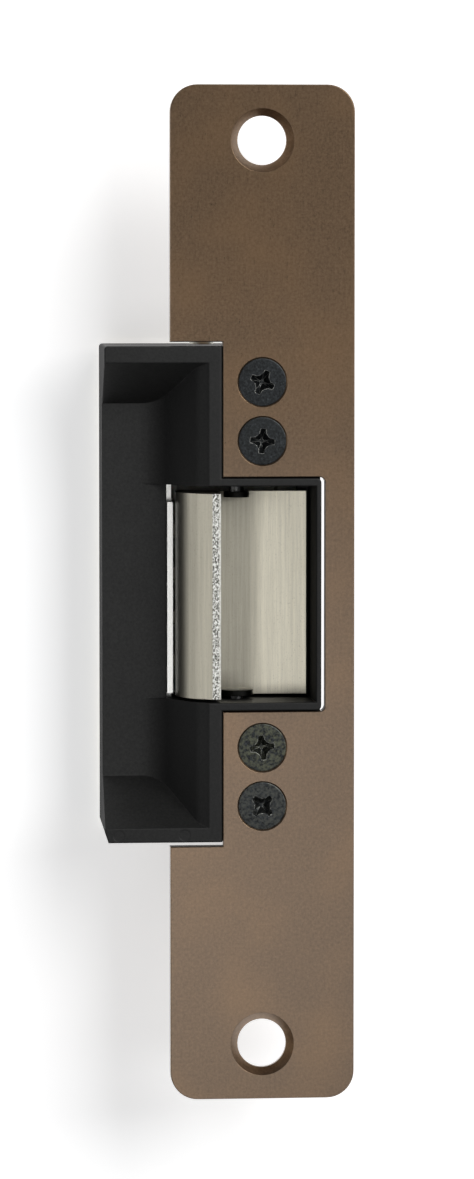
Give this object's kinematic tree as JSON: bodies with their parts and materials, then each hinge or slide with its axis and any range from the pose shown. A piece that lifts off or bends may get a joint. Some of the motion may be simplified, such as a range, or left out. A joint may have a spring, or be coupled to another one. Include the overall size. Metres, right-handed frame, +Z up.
{
  "type": "electric door strike",
  "caption": "Electric door strike: notched bronze faceplate, black cast body with a ramp recess, a swinging brushed steel keeper and a solenoid-driven locking bar.",
  "frame": {"origin": "centre of the faceplate's back face, midway between its two mounting holes", "axes": "+Z up along the faceplate, +X towards the closed side of the latch pocket, +Y from the faceplate into the door frame"},
  "size_m": [0.043, 0.0274, 0.1746],
  "materials": {
    "bronze_plate": "dark bronze anodised satin with a fine brushed grain",
    "black_casting": "black painted zinc die casting, slightly textured",
    "brushed_stainless": "stainless steel brushed along its length",
    "hardened_steel": "ground hardened steel",
    "bright_steel": "turned bright steel",
    "spring_steel": "drawn spring wire",
    "plated_steel": "zinc plated sheet and screws",
    "black_oxide": "black oxide screws with worn rims",
    "black_rubber": "moulded rubber",
    "nylon": "natural moulded nylon",
    "copper_winding": "enamelled copper wire",
    "coil_tape": "amber polyester coil tape",
    "brass_pins": "tinned brass terminals"
  },
  "bodies": {
    "strike": {"faceplate": "bronze_plate", "strike_body": "black_casting", "keeper_spring": "spring_steel", "keeper_stop_pad": "black_rubber", "bar_guide": "nylon", "spring_guide_pin": "bright_steel", "bar_return_spring": "spring_steel", "solenoid_frame": "plated_steel", "bobbin": "nylon", "coil_winding": "copper_winding", "coil_wrap": "coil_tape", "pole_piece": "bright_steel", "coil_terminals": "brass_pins", "solenoid_screws": "plated_steel", "rear_cover": "plated_steel", "cover_screws": "plated_steel", "faceplate_screws": "black_oxide", "wire_grommet": "black_rubber"},
    "keeper": {"keeper": "brushed_stainless", "hinge_pin_upper": "bright_steel", "hinge_pin_lower": "bright_steel", "hinge_clips": "spring_steel", "spring_collar": "bright_steel"},
    "lock_slide": {"locking_bar": "hardened_steel", "plunger": "bright_steel", "plunger_pin": "bright_steel"}
  },
  "joints": [
    {"name": "keeper_hinge", "type": "hinge", "parent": "strike", "child": "keeper", "pos_m": [-0.00371, 0.0071, 0], "axis": [0, 0, -1], "range_deg": [0, 68], "stiffness_Nm_per_rad": 0.02, "springref_deg": -34.38, "deforming": ["keeper_spring"]},
    {"name": "lock_slide", "type": "slide", "parent": "strike", "child": "lock_slide", "axis": [0, 0, 1], "range_m": [0, 0.0022], "stiffness_N_per_m": 200, "springref_m": -0.003, "deforming": ["bar_return_spring"]}
  ]
}
